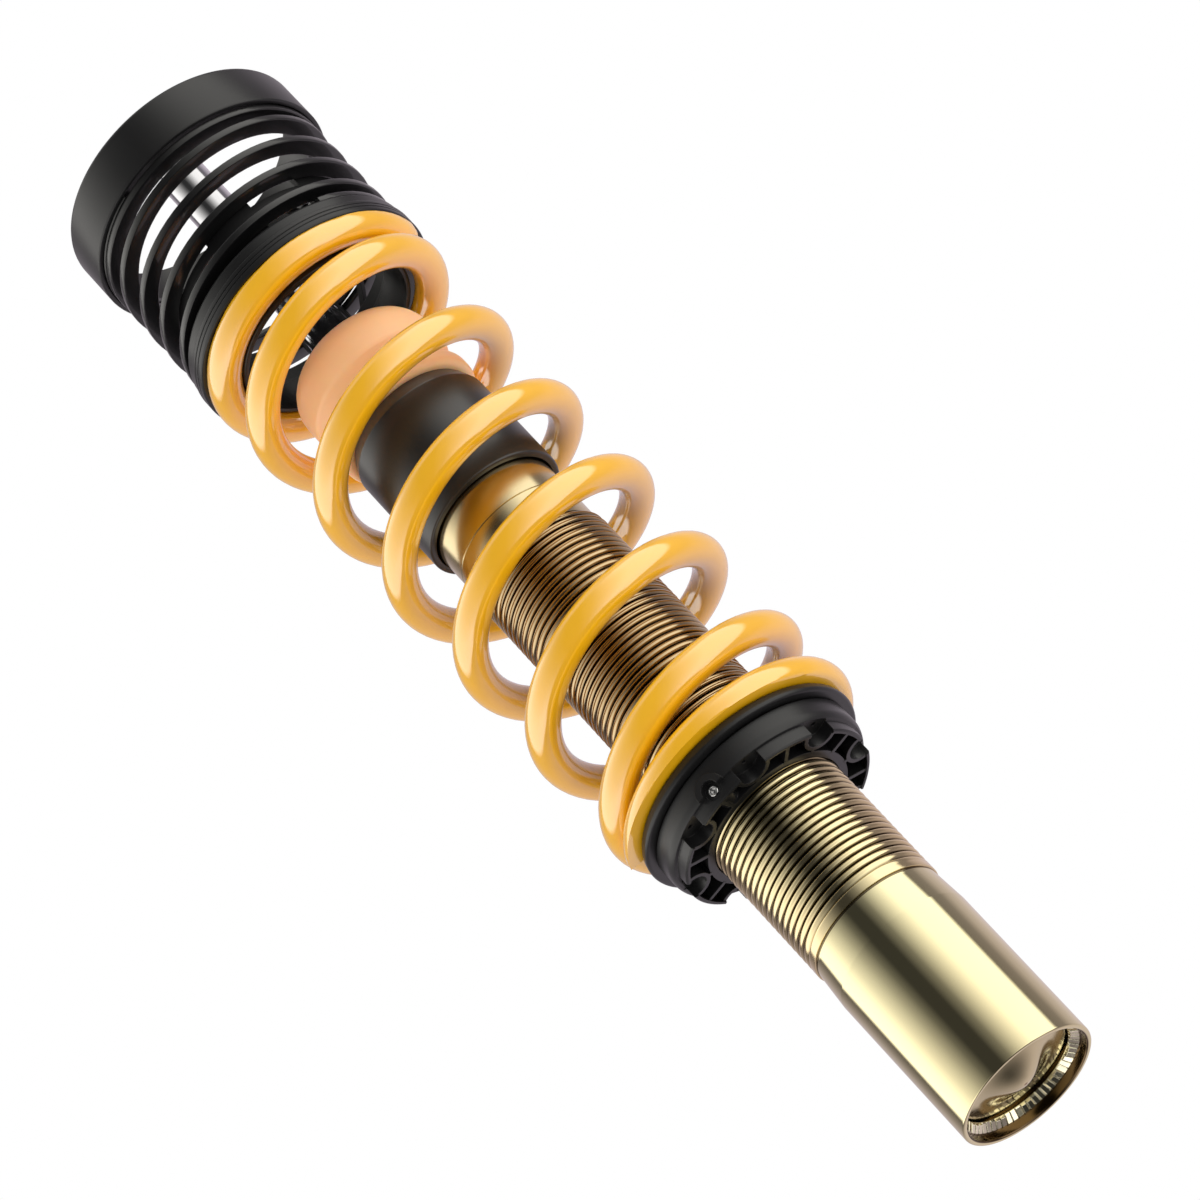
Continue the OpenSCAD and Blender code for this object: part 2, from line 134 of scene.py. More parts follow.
class SpringSettings(bpy.types.PropertyGroup):
    """Sizes and finish of the main spring and the helper spring."""

    wire: length("Wire", "Wire diameter of the main spring", 13 * MM)
    across: length("Diameter", "Outer diameter of the main spring", 102 * MM)
    pitch: length("Pitch", "Rise of the main spring's wire in one open turn", 44 * MM)
    flat_width: length("Flat wire width", "Width of the helper spring's wire", 7.2 * MM)
    flat_height: length("Flat wire height", "Height of the helper spring's wire", 3.1 * MM)
    flat_across: length("Helper diameter", "Outer diameter of the helper spring", 99.8 * MM)
    flat_pitch: length("Flat wire pitch", "Rise of the helper's wire in one open turn", 13.6 * MM)
    coat: colour("Main coat", "Colour of the main spring's powder coat", (0.98, 0.50, 0.002))
    helper_coat: colour("Helper coat", "Colour of the helper spring's coat", (0.006, 0.006, 0.0065))


class MouldingSettings(bpy.types.PropertyGroup):
    """Finish of the black mouldings and the foam."""

    edge: length("Edge radius", "Rounding of the moulded edges", 0.35 * MM)
    black: colour("Composite", "Colour of the black composite", (0.0085, 0.0085, 0.009))
    foam: colour("Foam", "Colour of the bump stop", (1.0, 0.60, 0.32))
    sheen: share("Roughness", "Roughness of the black composite", 0.33)


class StageSettings(bpy.types.PropertyGroup):
    """Camera and light."""

    eye: FloatVectorProperty(
        name="Camera",
        description="Place of the camera",
        default=(0.0062, -1.57688, -0.66708),
        size=3,
        subtype="TRANSLATION",
        unit="LENGTH",
    )
    angle: FloatProperty(
        name="Field of view",
        description="Angle that the camera takes in",
        default=math.radians(13.4017),
        subtype="ANGLE",
    )
    light: FloatProperty(name="Light", description="Strength of the studio light", default=1.0)
    fill: FloatProperty(
        name="Fill",
        description="Level of the even light that only matt surfaces take",
        default=0.55,
    )
    ceiling: FloatProperty(name="Ceiling", description="Level of the ceiling", default=0.5)


SETTINGS = {
    "coilover_housing": HousingSettings,
    "coilover_springs": SpringSettings,
    "coilover_mouldings": MouldingSettings,
    "coilover_stage": StageSettings,
}


# ---- Node materials ----


class Finish:
    """A material whose nodes are added one after another."""

    def __init__(self, name):
        self.material = bpy.data.materials.new(name)
        self.material.use_nodes = True
        self.tree = self.material.node_tree
        self.shader = self.tree.nodes["Principled BSDF"]
        self.place = self.tree.nodes.new("ShaderNodeTexCoord").outputs["Object"]

    def node(self, kind, inputs=None, **settings):
        """A node with its settings and its input values or links."""
        made = self.tree.nodes.new(kind)
        for key, value in settings.items():
            setattr(made, key, value)
        for key, value in (inputs or {}).items():
            if isinstance(value, bpy.types.NodeSocket):
                self.tree.links.new(value, made.inputs[key])
            else:
                made.inputs[key].default_value = value
        return made

    def noise(self, scale, detail=3.0, stretch=(1, 1, 1), rough=0.55):
        """Noise over the part, finer along an axis with a larger stretch."""
        spread = self.node("ShaderNodeMapping", {"Vector": self.place, "Scale": stretch})
        return self.node(
            "ShaderNodeTexNoise",
            {"Vector": spread.outputs[0], "Scale": scale, "Detail": detail, "Roughness": rough},
        ).outputs["Fac"]

    def ramp(self, value, start, end, a, b):
        """value, taken from the range start..end to the range a..b."""
        return self.node(
            "ShaderNodeMapRange",
            {"Value": value, "From Min": start, "From Max": end, "To Min": a, "To Max": b},
        ).outputs[0]

    def tint(self, value, first, second):
        """A colour between first and second, as value goes from 0 to 1."""
        mix = self.node("ShaderNodeMix", data_type="RGBA")
        self.tree.links.new(value, mix.inputs["Factor"])
        for socket, one in (("A", first), ("B", second)):
            target = [s for s in mix.inputs if s.name == socket and s.type == "RGBA"][0]
            if isinstance(one, bpy.types.NodeSocket):
                self.tree.links.new(one, target)
            else:
                target.default_value = (*one, 1.0)
        return [s for s in mix.outputs if s.type == "RGBA"][0]

    def bump(self, value, distance, strength=1.0, normal=None):
        """A normal that follows the height value, distance metres deep."""
        inputs = {"Height": value, "Distance": distance, "Strength": strength}
        if normal is not None:
            inputs["Normal"] = normal
        return self.node("ShaderNodeBump", inputs).outputs[0]

    def rounded(self, size):
        """A normal with the edges rounded off by size."""
        return self.node("ShaderNodeBevel", {"Radius": size}, samples=4).outputs[0]

    def set(self, **inputs):
        """Values or links for the shader's sockets, with _ for a space in a socket's name."""
        for key, value in inputs.items():
            socket = self.shader.inputs[key.replace("_", " ")]
            if isinstance(value, bpy.types.NodeSocket):
                self.tree.links.new(value, socket)
            elif socket.type == "RGBA":
                socket.default_value = (*value, 1.0)
            else:
                socket.default_value = value
        return self


def scaled(rgb, factor):
    """A colour made lighter or darker by a factor."""
    return tuple(min(1.0, c * factor) for c in rgb)


def zinc_finish(name, rgb, rough, rosy, painted_shade=None, spring_shade=None):
    """Gold passivated zinc: a polished metal with fine lines round it and a rosy cast in places.
    The first of the last two arguments gives painted shade: a colour, the radius up to which it is
    painted in full, and the radius from which the metal is left as it is. The second is a pair of
    heights from which the metal is painted darker upwards, as the shade inside the main spring."""
    f = Finish(name)
    cloud = f.noise(18.0, 2.0, (1, 1, 0.6))
    warm = (min(1.0, rgb[0] * 1.02), rgb[1] * 0.82, rgb[2] * 0.76)
    base = f.tint(f.ramp(cloud, 0.35, 0.70, rosy * 0.4, rosy), rgb, warm)
    # Painted shade: from the first height the metal is painted darker upwards, in full from the
    # second, for the shade inside the main spring
    if spring_shade:
        height = f.node("ShaderNodeSeparateXYZ", {0: f.place}).outputs["Z"]
        base = f.tint(f.ramp(height, *spring_shade, 0.0, 1.0), base, scaled(warm, 0.62))
    # Painted shade: nearer the axis than the given radius, the metal takes the shade colour
    if painted_shade:
        shade_tone, full, unshaded_from = painted_shade
        flat = f.node("ShaderNodeVectorMath", {0: f.place, 1: (1, 1, 0)}, operation="MULTIPLY")
        out = f.node("ShaderNodeVectorMath", {0: flat.outputs[0]}, operation="LENGTH")
        base = f.tint(f.ramp(out.outputs["Value"], full, unshaded_from, 0.0, 1.0), shade_tone, base)
    lines = f.noise(60.0, 4.0, (1, 1, 60), 0.7)
    f.set(
        Metallic=1.0,
        Base_Color=base,
        Roughness=f.ramp(lines, 0.3, 0.7, rough * 0.85, rough * 1.2),
        Normal=f.bump(lines, 0.004 * MM, 0.6),
    )
    return f.material


def steel_finish(name, rgb, rough, grain=30.0):
    """Machined steel or alloy, with turning marks round the axis."""
    f = Finish(name)
    marks = f.noise(40.0, 4.0, (1, 1, grain), 0.65)
    f.set(
        Metallic=1.0,
        Base_Color=f.tint(f.ramp(marks, 0.3, 0.7, 0.0, 1.0), scaled(rgb, 0.9), rgb),
        Roughness=f.ramp(marks, 0.3, 0.7, rough * 0.8, rough * 1.25),
        Normal=f.bump(marks, 0.01 * MM, 0.5, f.rounded(0.2 * MM)),
    )
    return f.material


def coat_finish(name, rgb, rough, coat, gloss):
    """Powder coat: a coloured paint under a clear gloss, with a faint orange peel."""
    f = Finish(name)
    patches = f.noise(35.0, 3.0)
    skin = f.noise(420.0, 2.0)
    fade = f.ramp(patches, 0.3, 0.7, 0.0, 1.0)
    f.set(
        Base_Color=f.tint(fade, scaled(rgb, 0.94), scaled(rgb, 1.03)),
        Roughness=f.ramp(patches, 0.3, 0.7, rough * 0.9, rough * 1.1),
        Coat_Weight=coat,
        Coat_Roughness=0.04,
        Coat_IOR=gloss,
        Normal=f.bump(skin, 0.01 * MM, 0.4),
    )
    return f.material


def composite_finish(name, rgb, rough, edge, gloss=0.5):
    """Glass-filled black plastic: a satin skin with fine grain, and edges rounded off."""
    f = Finish(name)
    grain = f.noise(900.0, 2.0)
    flow = f.noise(28.0, 3.0, (1, 1, 0.4))
    f.set(
        Base_Color=f.tint(f.ramp(flow, 0.3, 0.7, 0.0, 1.0), scaled(rgb, 0.8), scaled(rgb, 1.3)),
        Roughness=f.ramp(flow, 0.3, 0.7, rough * 0.9, rough * 1.12),
        Specular_IOR_Level=gloss,
        Normal=f.bump(grain, 0.012 * MM, 0.5, f.rounded(edge) if edge else None),
    )
    return f.material


def foam_finish(name, rgb):
    """Closed-cell foam: matt, with fine cells and a soft glow."""
    f = Finish(name)
    cells = f.node("ShaderNodeTexVoronoi", {"Vector": f.place, "Scale": 900.0}).outputs["Distance"]
    cloud = f.noise(60.0, 3.0)
    f.set(
        Base_Color=f.tint(f.ramp(cloud, 0.3, 0.7, 0.0, 1.0), scaled(rgb, 0.93), rgb),
        Roughness=0.42,
        Subsurface_Weight=0.5,
        Subsurface_Radius=(1.0, 0.45, 0.2),
        Subsurface_Scale=2.5 * MM,
        Normal=f.bump(cells, 0.03 * MM, 0.35),
    )
    return f.material


def rubber_finish(name, rgb, rough):
    """Moulded rubber or lining, dull and slightly mottled."""
    f = Finish(name)
    mottle = f.noise(120.0, 4.0)
    f.set(
        Base_Color=f.tint(f.ramp(mottle, 0.3, 0.7, 0.0, 1.0), scaled(rgb, 0.8), scaled(rgb, 1.15)),
        Roughness=f.ramp(mottle, 0.3, 0.7, rough * 0.9, rough * 1.1),
        Normal=f.bump(mottle, 0.02 * MM, 0.4),
    )
    return f.material


def chrome_finish(name, rgb, rough):
    """Hard chrome, ground round the rod."""
    f = Finish(name)
    lines = f.noise(80.0, 3.0, (1, 1, 40), 0.7)
    f.set(
        Metallic=1.0,
        Base_Color=rgb,
        Roughness=f.ramp(lines, 0.3, 0.7, rough * 0.7, rough * 1.4),
        Normal=f.bump(lines, 0.002 * MM, 0.5),
    )
    return f.material


FINISHES = {}


def finish(slot):
    """The material of a slot, or of a kind of zinc, made when it is first asked for."""
    if slot in FINISHES:
        return FINISHES[slot]
    scene = bpy.context.scene
    housing, springs = scene.coilover_housing, scene.coilover_springs
    mouldings = scene.coilover_mouldings
    gold, polish = tuple(housing.plating), housing.polish
    black = tuple(mouldings.black)
    crest = radius("threaded_tube")
    makers = {
        # The inner wall of the tube, nearer the axis than 25.8 mm, is painted darker as shade
        "zinc_gold": lambda: zinc_finish(
            "zinc gold", gold, polish, 0.3, ((0.13, 0.085, 0.045), 25.8 * MM, 26.0 * MM)
        ),
        # The cap's middle, out to 1 mm, is painted darker as shade
        "zinc_cap": lambda: zinc_finish(
            "zinc cap", scaled(gold, 0.85), polish * 1.5, 0.4, ((0.24, 0.13, 0.08), 0.0, 1 * MM)
        ),
        "zinc_thread": lambda: zinc_finish(
            "zinc thread",
            gold,
            polish * 1.6,
            1.0,
            # Painted shade: the roots of the thread are painted near black, from 0.25 mm below the
            # crest
            painted_shade=((0.035, 0.020, 0.012), crest - 0.95 * MM, crest - 0.25 * MM),
            # Painted shade of the main spring over the thread, from 145 mm up
            spring_shade=(145 * MM, 190 * MM),
        ),
        # The head is the same plating painted darker, as painted shade and the spring's brown
        # reflection near the cup
        "zinc_head": lambda: zinc_finish("zinc head", scaled(gold, 0.8), polish * 2, 0.8),
        "weld": lambda: steel_finish("weld", (0.95, 0.88, 0.66), 0.12),
        "steel": lambda: steel_finish("steel", (0.58, 0.58, 0.57), 0.32),
        "guide_alloy": lambda: steel_finish("guide alloy", (0.70, 0.70, 0.69), 0.30),
        "bearing": lambda: steel_finish("bearing bronze", (0.62, 0.47, 0.26), 0.35),
        "seal": lambda: rubber_finish("seal rubber", (0.02, 0.02, 0.022), 0.6),
        "cup_black": lambda: composite_finish(
            "cup plastic", scaled(black, 1.3), 0.34, 0.0, 0.8
        ),
        "foam": lambda: foam_finish("bump foam", tuple(mouldings.foam)),
        "rod_chrome": lambda: chrome_finish("rod chrome", (0.56, 0.56, 0.58), 0.10),
        "band": lambda: rubber_finish("band", (0.05, 0.11, 0.10), 0.45),
        "spring_yellow": lambda: coat_finish("main coat", tuple(springs.coat), 0.35, 1.0, 2.25),
        "spring_black": lambda: coat_finish(
            "helper coat", tuple(springs.helper_coat), 0.34, 0.4, 1.5
        ),
        "composite": lambda: composite_finish(
            "composite", black, mouldings.sheen, mouldings.edge
        ),
        "screw": lambda: steel_finish("screw nickel", (0.90, 0.90, 0.90), 0.14),
    }
    FINISHES[slot] = makers[slot]()
    return FINISHES[slot]


# ---- Meshes ----


def arc(r, z, size, start, end, steps=6):
    """Points of an arc about (r, z), from angle start to end in degrees."""
    angles = [math.radians(start + (end - start) * i / steps) for i in range(steps + 1)]
    return [(r + size * math.cos(a), z + size * math.sin(a)) for a in angles]


def rounded(outline, steps=5):
    """A closed outline of (radius, height, fillet) corners, with each corner rounded off."""
    points = []
    count = len(outline)
    for i, (r, z, size) in enumerate(outline):
        here = Vector((r, z))
        back = Vector(outline[i - 1][:2]) - here
        on = Vector(outline[(i + 1) % count][:2]) - here
        if size <= 0:
            points.append((r, z))
            continue
        back.normalize()
        on.normalize()
        half = back.angle(on) / 2
        reach = size / math.tan(half)
        middle = here + (back + on).normalized() * size / math.sin(half)
        first = here + back * reach - middle
        sweep = (here + on * reach - middle).angle_signed(first)
        for k in range(steps + 1):
            turned = Matrix.Rotation(sweep * k / steps, 2) @ first
            points.append(tuple(middle + turned))
    return points


def shade(mesh, sharp=32):
    """Smooth shading, with creases where faces meet at more than sharp degrees."""
    mesh.polygons.foreach_set("use_smooth", [True] * len(mesh.polygons))
    mesh.set_sharp_from_angle(angle=math.radians(sharp))
    mesh.update()


def from_points(name, points, faces, sharp=32):
    """A mesh object with merged points and faces that look outward."""
    bm = bmesh.new()
    corners = [bm.verts.new(p) for p in points]
    for face in faces:
        if len(set(face)) == len(face):
            bm.faces.new([corners[i] for i in face])
    bmesh.ops.remove_doubles(bm, verts=bm.verts, dist=1e-6)
    bmesh.ops.dissolve_degenerate(bm, edges=bm.edges, dist=1e-7)
    bmesh.ops.recalc_face_normals(bm, faces=bm.faces)
    mesh = bpy.data.meshes.new(name)
    bm.to_mesh(mesh)
    bm.free()
    shade(mesh, sharp)
    piece = bpy.data.objects.new(name, mesh)
    bpy.context.scene.collection.objects.link(piece)
    return piece


def around(outline, angle):
    """The points of an outline of (radius, height), turned about the axis to an angle."""
    c, s = math.cos(angle), math.sin(angle)
    return [(r * c, r * s, z) for r, z in outline]


def strip(a, b, count):
    """Faces between two closed rows of count points each, the first at a and b."""
    pairs = [(k, (k + 1) % count) for k in range(count)]
    return [(a + k, b + k, b + n, a + n) for k, n in pairs]


def lathe(name, outline, steps=192, sharp=32):
    """A piece turned about the axis from a closed outline of (radius, height) points."""
    count = len(outline)
    points = []
    for i in range(steps):
        points += around(outline, TURN * i / steps)
    faces = []
    for i in range(steps):
        faces += strip(i * count, (i + 1) % steps * count, count)
    return from_points(name, points, faces, sharp)


def settle(piece, body, slot, node, look=None):
    """The piece gets its finish, rides on its body and stands for its CAD node."""
    piece.data.materials.append(finish(look or slot))
    if body:
        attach(piece, body)
    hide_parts(node)


def climb(t, closed, pitch, a, b):
    """Rise of a wire over t turns from a closed end, whose pitch opens between turns a and b."""
    c = min(1.0, max(0.0, (t - a) / (b - a)))
    return closed * t + (pitch - closed) * ((b - a) * (c**3 - c**4 / 2) + max(0.0, t - b))


def coil(name, section, radius_mid, first, turns, height, floor, top, per_turn=72):
    """A wire with the closed section (outward, upward), wound from angle first, with its ends
    ground flat at the heights floor and top. height(t) is the wire's height after t turns.
    The section is a little smaller at the two cut ends."""
    steps = math.ceil(turns * per_turn)
    count = len(section)
    points = []
    for i in range(steps + 1):
        t = turns * i / steps
        a = first + TURN * t
        before, after = max(0.0, t - 0.01), min(turns, t + 0.01)
        run = (after - before) * TURN * radius_mid
        lean = math.atan((height(after) - height(before)) / run)
        outward = Vector((math.cos(a), math.sin(a), 0))
        forward = Vector((-math.sin(a), math.cos(a), 0))
        upward = Vector((0, 0, math.cos(lean))) - forward * math.sin(lean)
        trim = 0.93 if i in (0, steps) else 1.0
        for x, y in section:
            p = outward * (radius_mid + x * trim) + upward * y * trim
            p.z = min(top, max(floor, p.z + height(t)))
            points.append(tuple(p))
    faces = []
    for i in range(steps):
        faces += strip(i * count, (i + 1) * count, count)
    faces.append(tuple(range(count)))
    faces.append(tuple(steps * count + k for k in range(count)))
    return from_points(name, points, faces, 40)


def stretch(piece, a, b, start, end, gain):
    """The piece's place is baked into its points. a, b, start, end and gain are not used."""
    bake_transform(piece)


# ---- Pieces ----


# Direction in which the camera looks, and the direction that is up in its picture
VIEW_AIM = (0.0, 0.86465, 0.50238)
VIEW_UP = (0.68225, -0.36730, 0.63216)
# The two tall soft lights and the dark between them: azimuth from the front towards +x in
# degrees, and level
BOXES = [
    (-180, 0.0),
    (-119, 0.0),
    (-113, 1.75),
    (-90, 1.65),
    (-70, 1.00),
    (-48, 0.42),
    (-34, 0.14),
    (-22, 0.015),
    (-4, 0.015),
    (10, 0.20),
    (24, 0.68),
    (48, 1.55),
    (87, 1.70),
    (93, 0.0),
    (180, 0.0),
]
# The glow of the room behind
ROOM = [
    (-180, 0.66),
    (-146, 0.42),
    (-119, 0.10),
    (-90, 0.0),
    (89, 0.0),
    (95, 0.19),
    (109, 0.24),
    (124, 0.50),
    (145, 0.66),
    (180, 0.66),
]
# Heights in degrees between which each of them fades in and out
BOX_FOOT = (-62.0, -54.0)
BOX_TOP = (58.0, 66.0)
ROOM_FOOT = (-100.0, -30.0)
ROOM_TOP = (45.0, 70.0)
# Level of the dim light that is everywhere, and tints of the lights
DIM = 0.03
BOX_TINT = (1.0, 0.98, 0.93)
ROOM_TINT = (1.0, 0.88, 0.98)


class COILOVER_OT_stage(bpy.types.Operator):
    """Set the camera, the floor and the studio light"""

    bl_idname = "coilover.stage"
    bl_label = "Stage"
    bl_options = {"REGISTER", "UNDO"}

    def execute(self, context):
        settings = context.scene.coilover_stage
        data = bpy.data.cameras.new("camera")
        camera = bpy.data.objects.new("camera", data)
        context.scene.collection.objects.link(camera)
        context.scene.camera = camera
        back = -Vector(VIEW_AIM)
        right = Vector(VIEW_UP).cross(back).normalized()
        up = back.cross(right)
        turned = Matrix((right, up, back)).transposed().to_4x4()
        camera.matrix_world = Matrix.Translation(settings.eye) @ turned
        data.sensor_fit = "AUTO"
        data.angle = settings.angle
        data.clip_start = 0.01
        context.scene.view_settings.view_transform = "Standard"
        self.floor(context)
        self.sky(context, settings)
        return {"FINISHED"}

    def floor(self, context):
        """A pale floor that is seen only from above, so that the strut can be seen from below."""
        bm = bmesh.new()
        bmesh.ops.create_circle(bm, cap_ends=True, segments=96, radius=6.0)
        mesh = bpy.data.meshes.new("floor")
        bm.to_mesh(mesh)
        bm.free()
        floor = bpy.data.objects.new("floor", mesh)
        floor.location.z = -0.0006
        context.scene.collection.objects.link(floor)
        floor.visible_shadow = False
        floor.visible_glossy = False
        floor.visible_diffuse = False
        f = Finish("floor paint")
        speckle = f.noise(3.0, 2.0)
        f.set(
            Base_Color=f.tint(f.ramp(speckle, 0.3, 0.7, 0.0, 1.0), (0.80,) * 3, (0.82,) * 3),
            Roughness=0.7,
        )
        side = f.node("ShaderNodeNewGeometry").outputs["Backfacing"]
        clear = f.node("ShaderNodeBsdfTransparent").outputs[0]
        mix = f.node("ShaderNodeMixShader", {0: side, 1: f.shader.outputs[0], 2: clear}).outputs[0]
        f.tree.links.new(mix, f.tree.nodes["Material Output"].inputs["Surface"])
        mesh.materials.append(f.material)

    def sky(self, context, settings):
        """A studio of soft lights all round, which the polished metal mirrors. The background
        is white."""
        world = bpy.data.worlds.new("studio")
        context.scene.world = world
        world.use_nodes = True
        tree = world.node_tree
        tree.nodes.clear()

        def node(kind, *inputs, **options):
            """A node of the sky with its settings and its input values or links."""
            made = tree.nodes.new(kind)
            for key, value in options.items():
                setattr(made, key, value)
            for socket, value in enumerate(inputs):
                if isinstance(value, bpy.types.NodeSocket):
                    tree.links.new(value, made.inputs[socket])
                else:
                    made.inputs[socket].default_value = value
            return made

        def maths(operation, *inputs):
            """The result of one sum."""
            return node("ShaderNodeMath", *inputs, operation=operation).outputs[0]

        def ease(value, start, end, first, last):
            """A level that eases from first to last as value goes from start to end."""
            smooth = {"interpolation_type": "SMOOTHSTEP"}
            return node("ShaderNodeMapRange", value, start, end, first, last, **smooth).outputs[0]

        way = node("ShaderNodeTexCoord").outputs["Generated"]
        parts = node("ShaderNodeSeparateXYZ", way).outputs
        azimuth = maths("ARCTAN2", parts[0], maths("MULTIPLY", parts[1], -1.0))
        height = maths("DEGREES", maths("ARCSINE", parts[2]))
        turn = maths("MULTIPLY_ADD", azimuth, 1 / TURN, 0.5)
        ceiling = ease(height, *BOX_TOP, DIM, settings.ceiling)
        total = node("ShaderNodeCombineXYZ", ceiling, ceiling, ceiling).outputs[0]
        for stops, foot, top, tint in (
            (BOXES, BOX_FOOT, BOX_TOP, BOX_TINT),
            (ROOM, ROOM_FOOT, ROOM_TOP, ROOM_TINT),
        ):
            ring = node("ShaderNodeValToRGB", turn)
            while len(ring.color_ramp.elements) < len(stops):
                ring.color_ramp.elements.new(0.5)
            for stop, (degrees, _) in zip(ring.color_ramp.elements, stops):
                stop.position = degrees / 360 + 0.5
            for stop, (_, level) in zip(ring.color_ramp.elements, stops):
                stop.color = (*[c * level / 2 for c in tint], 1.0)
            reach = maths("MULTIPLY", ease(height, *foot, 0.0, 2.0), ease(height, *top, 1.0, 0.0))
            lit = node("ShaderNodeVectorMath", ring.outputs[0], operation="SCALE")
            tree.links.new(reach, lit.inputs["Scale"])
            total = node("ShaderNodeVectorMath", total, lit.outputs[0]).outputs[0]
        ray = node("ShaderNodeLightPath").outputs
        soft = maths("MULTIPLY", ray["Is Diffuse Ray"], settings.fill)
        total = node("ShaderNodeVectorMath", total, soft).outputs[0]
        glow = node("ShaderNodeBackground", total, settings.light).outputs[0]
        white = node("ShaderNodeBackground", (1.0, 1.0, 1.0, 1.0), 1.0).outputs[0]
        node("ShaderNodeOutputWorld", node("ShaderNodeMixShader", ray[0], glow, white).outputs[0])


class COILOVER_OT_finishes(bpy.types.Operator):
    """Give every CAD node the finish of its slot"""

    bl_idname = "coilover.finishes"
    bl_label = "Finishes"
    bl_options = {"REGISTER", "UNDO"}

    def execute(self, context):
        for part in frame["record"]["subparts"]:
            node = frame["nodes"][part["node"]]
            node.data.materials.clear()
            node.data.materials.append(finish(part["material_slot"]))
        return {"FINISHED"}


class COILOVER_OT_housing(bpy.types.Operator):
    """Build the polished lower tube and the threaded tube with its smooth head"""

    bl_idname = "coilover.housing"
    bl_label = "Housing"
    bl_options = {"REGISTER", "UNDO"}

    def execute(self, context):
        settings = context.scene.coilover_housing
        self.lower_tube()
        self.threaded_tube(settings)
        self.cap()
        self.crimp(settings)
        return {"FINISHED"}

    def lower_tube(self):
        """The plain tube, with a rounded rim and a short neck up to the thread."""
        r = radius("lower_tube")
        neck = radius("threaded_tube") - 0.55 * MM
        wall = 2 * MM
        bend, foot, top = 66 * MM, 79.5 * MM, high("lower_tube")
        outline = rounded(
            [
                (r - wall, 0.0, 0.8 * MM),
                (r, 0.0, 0.8 * MM),
                (r, bend, 4 * MM),
                (neck, foot, 0.5 * MM),
                (neck, top, 0.15 * MM),
                (neck - wall, top, 0.0),
                (neck - wall, foot, 0.0),
                (r - wall, bend, 0.0),
            ]
        )
        settle(lathe("tube_polished", outline, 256), "housing", "zinc_gold", "lower_tube")

    def cap(self):
        """The pressed end cap, with a rounded bulge in its middle."""
        top, bottom = high("end_cap"), low("end_cap")
        r = radius("end_cap")
        rim = top - 1.6 * MM
        bulge, steps = 17 * MM, 24
        under = [
            (bulge * i / steps, rim - (rim - bottom) * (1 + math.cos(math.pi * i / steps)) / 2)
            for i in range(steps + 1)
        ]
        over = [(x, z + top - rim) for x, z in reversed(under)]
        outline = under + [(r, rim), (r, top)] + over
        piece = lathe("cap_pressed", outline, 128, 60)
        settle(piece, "housing", "zinc_gold", "end_cap", look="zinc_cap")

    def crimp(self, settings):
        """The rim of the cap, pressed down in short flats with a groove between each two."""
        top, bottom = high("end_weld"), low("end_weld")
        out = radius("end_weld") - 0.05 * MM
        inner = out - (top - bottom)
        points, faces = [], []
        for i in range(settings.facets):
            lean = 0.35 * MM * math.sin(5.1 * i)
            flat = [
                (inner, top - 0.3 * MM),
                (inner + 0.2 * MM, top - 0.9 * MM + lean),
                (out - 0.6 * MM, bottom + 0.1 * MM),
                (out, bottom + 0.1 * MM),
            ]
            groove = [(r, min(top, z + 0.5 * MM)) for r, z in flat]
            for along, row in ((0.0, groove), (0.12, flat), (0.88, flat), (1.0, groove)):
                angle = (i + along) * TURN / settings.facets
                points += around([*row, (out, top), (inner, top)], angle)
        count, rows = 6, 4 * settings.facets
        for i in range(rows):
            faces += strip(i * count, (i + 1) % rows * count, count)
        piece = from_points("cap_crimp", points, faces, 12)
        settle(piece, "housing", "weld", "end_weld")

    def threaded_tube(self, settings):
        """The thread as one helix between a land and the smooth head."""
        crest, head, bore = radius("threaded_tube"), 25.6 * MM, 23.5 * MM
        foot, top = low("threaded_tube"), high("threaded_tube")
        start = foot + settings.land
        end = start + settings.turns * settings.pitch
        # Share of the thread's depth that is left at each of the cuts across one ridge
        shape = [0.0, 0.36, 0.72, 0.90, 0.98, 1.0, 0.98, 0.90, 0.72, 0.36]
        steps, cuts = 96, len(shape)

        def ridge(phase, z):
            """Radius of the thread at one of the cuts across a ridge, at the height z."""
            fade = min(1.0, max(0.0, (z - start) / (1.5 * settings.pitch)))
            fall = min(1.0, max(0.0, (end - z) / settings.pitch))
            cut = settings.depth * (1 - shape[phase]) * fade
            return crest - cut - (crest - head) * (1 - fall) ** 2

        step_in = crest - 0.8 * MM
        below = rounded(
            [
                (bore, foot, 0.0),
                (step_in, foot, 0.15 * MM),
                (step_in, foot + 0.7 * MM, 0.1 * MM),
                (crest, foot + 0.9 * MM, 0.2 * MM),
                (crest, start, 0.0),
                (bore, start, 0.0),
            ]
        )[:-1]
        groove = end + 15.3 * MM
        edge = 2 * MM
        above = [
            (head, end),
            (head, groove - 0.3 * MM),
            (head - 0.4 * MM, groove),
            (head, groove + 0.3 * MM),
            (head, top - edge),
            *arc(head - edge, top - edge, edge, 0, 90),
            (bore, top),
        ]
        rows = [[(r, z)] * (steps + 1) for r, z in below]
        for k in range(-cuts, settings.turns * cuts + 1):
            rise = [start + (k / cuts + j / steps) * settings.pitch for j in range(steps + 1)]
            rise = [min(end, max(start, z)) for z in rise]
            rows.append([(ridge(k % cuts, z), z) for z in rise])
        rows += [[(r, z)] * (steps + 1) for r, z in above]
        points, faces = [], []
        for row in rows:
            for j, place in enumerate(row):
                points += around([place], TURN * j / steps)
        starts = [i * (steps + 1) for i in range(len(rows))] + [0]
        for a, b in zip(starts, starts[1:]):
            for j in range(steps):
                faces.append((a + j, a + j + 1, b + j + 1, b + j))
        piece = from_points("tube_threaded", points, faces, 40)
        settle(piece, "housing", "zinc_gold", "threaded_tube", look="zinc_thread")
        # The faces above the thread are the head's
        piece.data.materials.append(finish("zinc_head"))
        for face in piece.data.polygons:
            face.material_index = int(face.center.z > end - 1 * MM)


# Share of the rod's stroke that the divider takes
FOLLOW = 0.57


